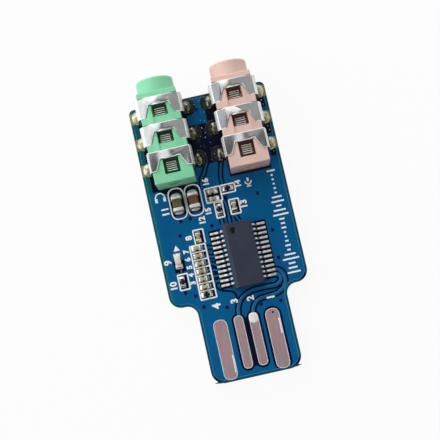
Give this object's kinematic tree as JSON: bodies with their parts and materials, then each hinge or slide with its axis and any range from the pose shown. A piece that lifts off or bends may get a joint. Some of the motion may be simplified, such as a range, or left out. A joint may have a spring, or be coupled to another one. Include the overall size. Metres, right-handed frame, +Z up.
{
  "type": "usb audio module",
  "caption": "Bare circuit board whose narrow end plugs into a computer port, with a sound chip and two round audio sockets at the other end.",
  "frame": {"origin": "middle of the overall box in plan, on the underside of the board", "axes": "+Y from the plug tongue to the socket mouths, +X to the right seen from above with the sockets away from the viewer, +Z up through the board's parts side"},
  "size_m": [0.0186, 0.0408, 0.0072],
  "materials": {
    "solder_mask": "glossy blue lacquer over glass-fibre board",
    "tinned_copper": "dull tinned copper",
    "chip_epoxy": "matt black moulding compound",
    "tinned_lead": "bright tin",
    "solder": "bright solder",
    "mint_plastic": "satin moulded mint-green plastic",
    "pink_plastic": "satin moulded pale pink plastic",
    "nickel_sheet": "bright nickel-plated sheet",
    "brown_ceramic": "satin brown capacitor ceramic",
    "tan_ceramic": "satin tan capacitor ceramic",
    "resistor_glaze": "black glaze over ceramic",
    "lamp_substrate": "off-white laminate",
    "lamp_resin": "clear pale resin"
  },
  "bodies": {
    "root": {"circuit_board": "solder_mask", "ground_contact": "tinned_copper", "data_plus_contact": "tinned_copper", "data_minus_contact": "tinned_copper", "power_contact": "tinned_copper", "chip_body": "chip_epoxy", "chip_leads": "tinned_lead", "chip_lands": "solder", "headphone_socket_housing": "mint_plastic", "headphone_sleeve_clip": "nickel_sheet", "headphone_ring_clip": "nickel_sheet", "headphone_tip_clip": "nickel_sheet", "headphone_socket_solder": "solder", "microphone_socket_housing": "pink_plastic", "microphone_sleeve_clip": "nickel_sheet", "microphone_ring_clip": "nickel_sheet", "microphone_tip_clip": "nickel_sheet", "microphone_socket_solder": "solder", "coupling_capacitor_1": "brown_ceramic", "coupling_capacitor_1_ends": "tinned_lead", "coupling_capacitor_2": "brown_ceramic", "coupling_capacitor_2_ends": "tinned_lead", "small_capacitor_1": "tan_ceramic", "small_capacitor_1_ends": "tinned_lead", "small_capacitor_2": "tan_ceramic", "small_capacitor_2_ends": "tinned_lead", "small_capacitor_3": "tan_ceramic", "small_capacitor_3_ends": "tinned_lead", "small_capacitor_4": "tan_ceramic", "small_capacitor_4_ends": "tinned_lead", "small_capacitor_5": "tan_ceramic", "small_capacitor_5_ends": "tinned_lead", "small_capacitor_6": "tan_ceramic", "small_capacitor_6_ends": "tinned_lead", "small_capacitor_7": "tan_ceramic", "small_capacitor_7_ends": "tinned_lead", "small_capacitor_8": "tan_ceramic", "small_capacitor_8_ends": "tinned_lead", "small_capacitor_9": "tan_ceramic", "small_capacitor_9_ends": "tinned_lead", "small_capacitor_10": "tan_ceramic", "small_capacitor_10_ends": "tinned_lead", "resistor_1": "resistor_glaze", "resistor_1_ends": "tinned_lead", "resistor_2": "resistor_glaze", "resistor_2_ends": "tinned_lead", "resistor_3": "resistor_glaze", "resistor_3_ends": "tinned_lead", "resistor_4": "resistor_glaze", "resistor_4_ends": "tinned_lead", "small_part_solder": "solder", "lamp_base": "lamp_substrate", "lamp_ends": "tinned_lead", "lamp_lens": "lamp_resin", "lamp_solder": "solder"}
  },
  "joints": []
}
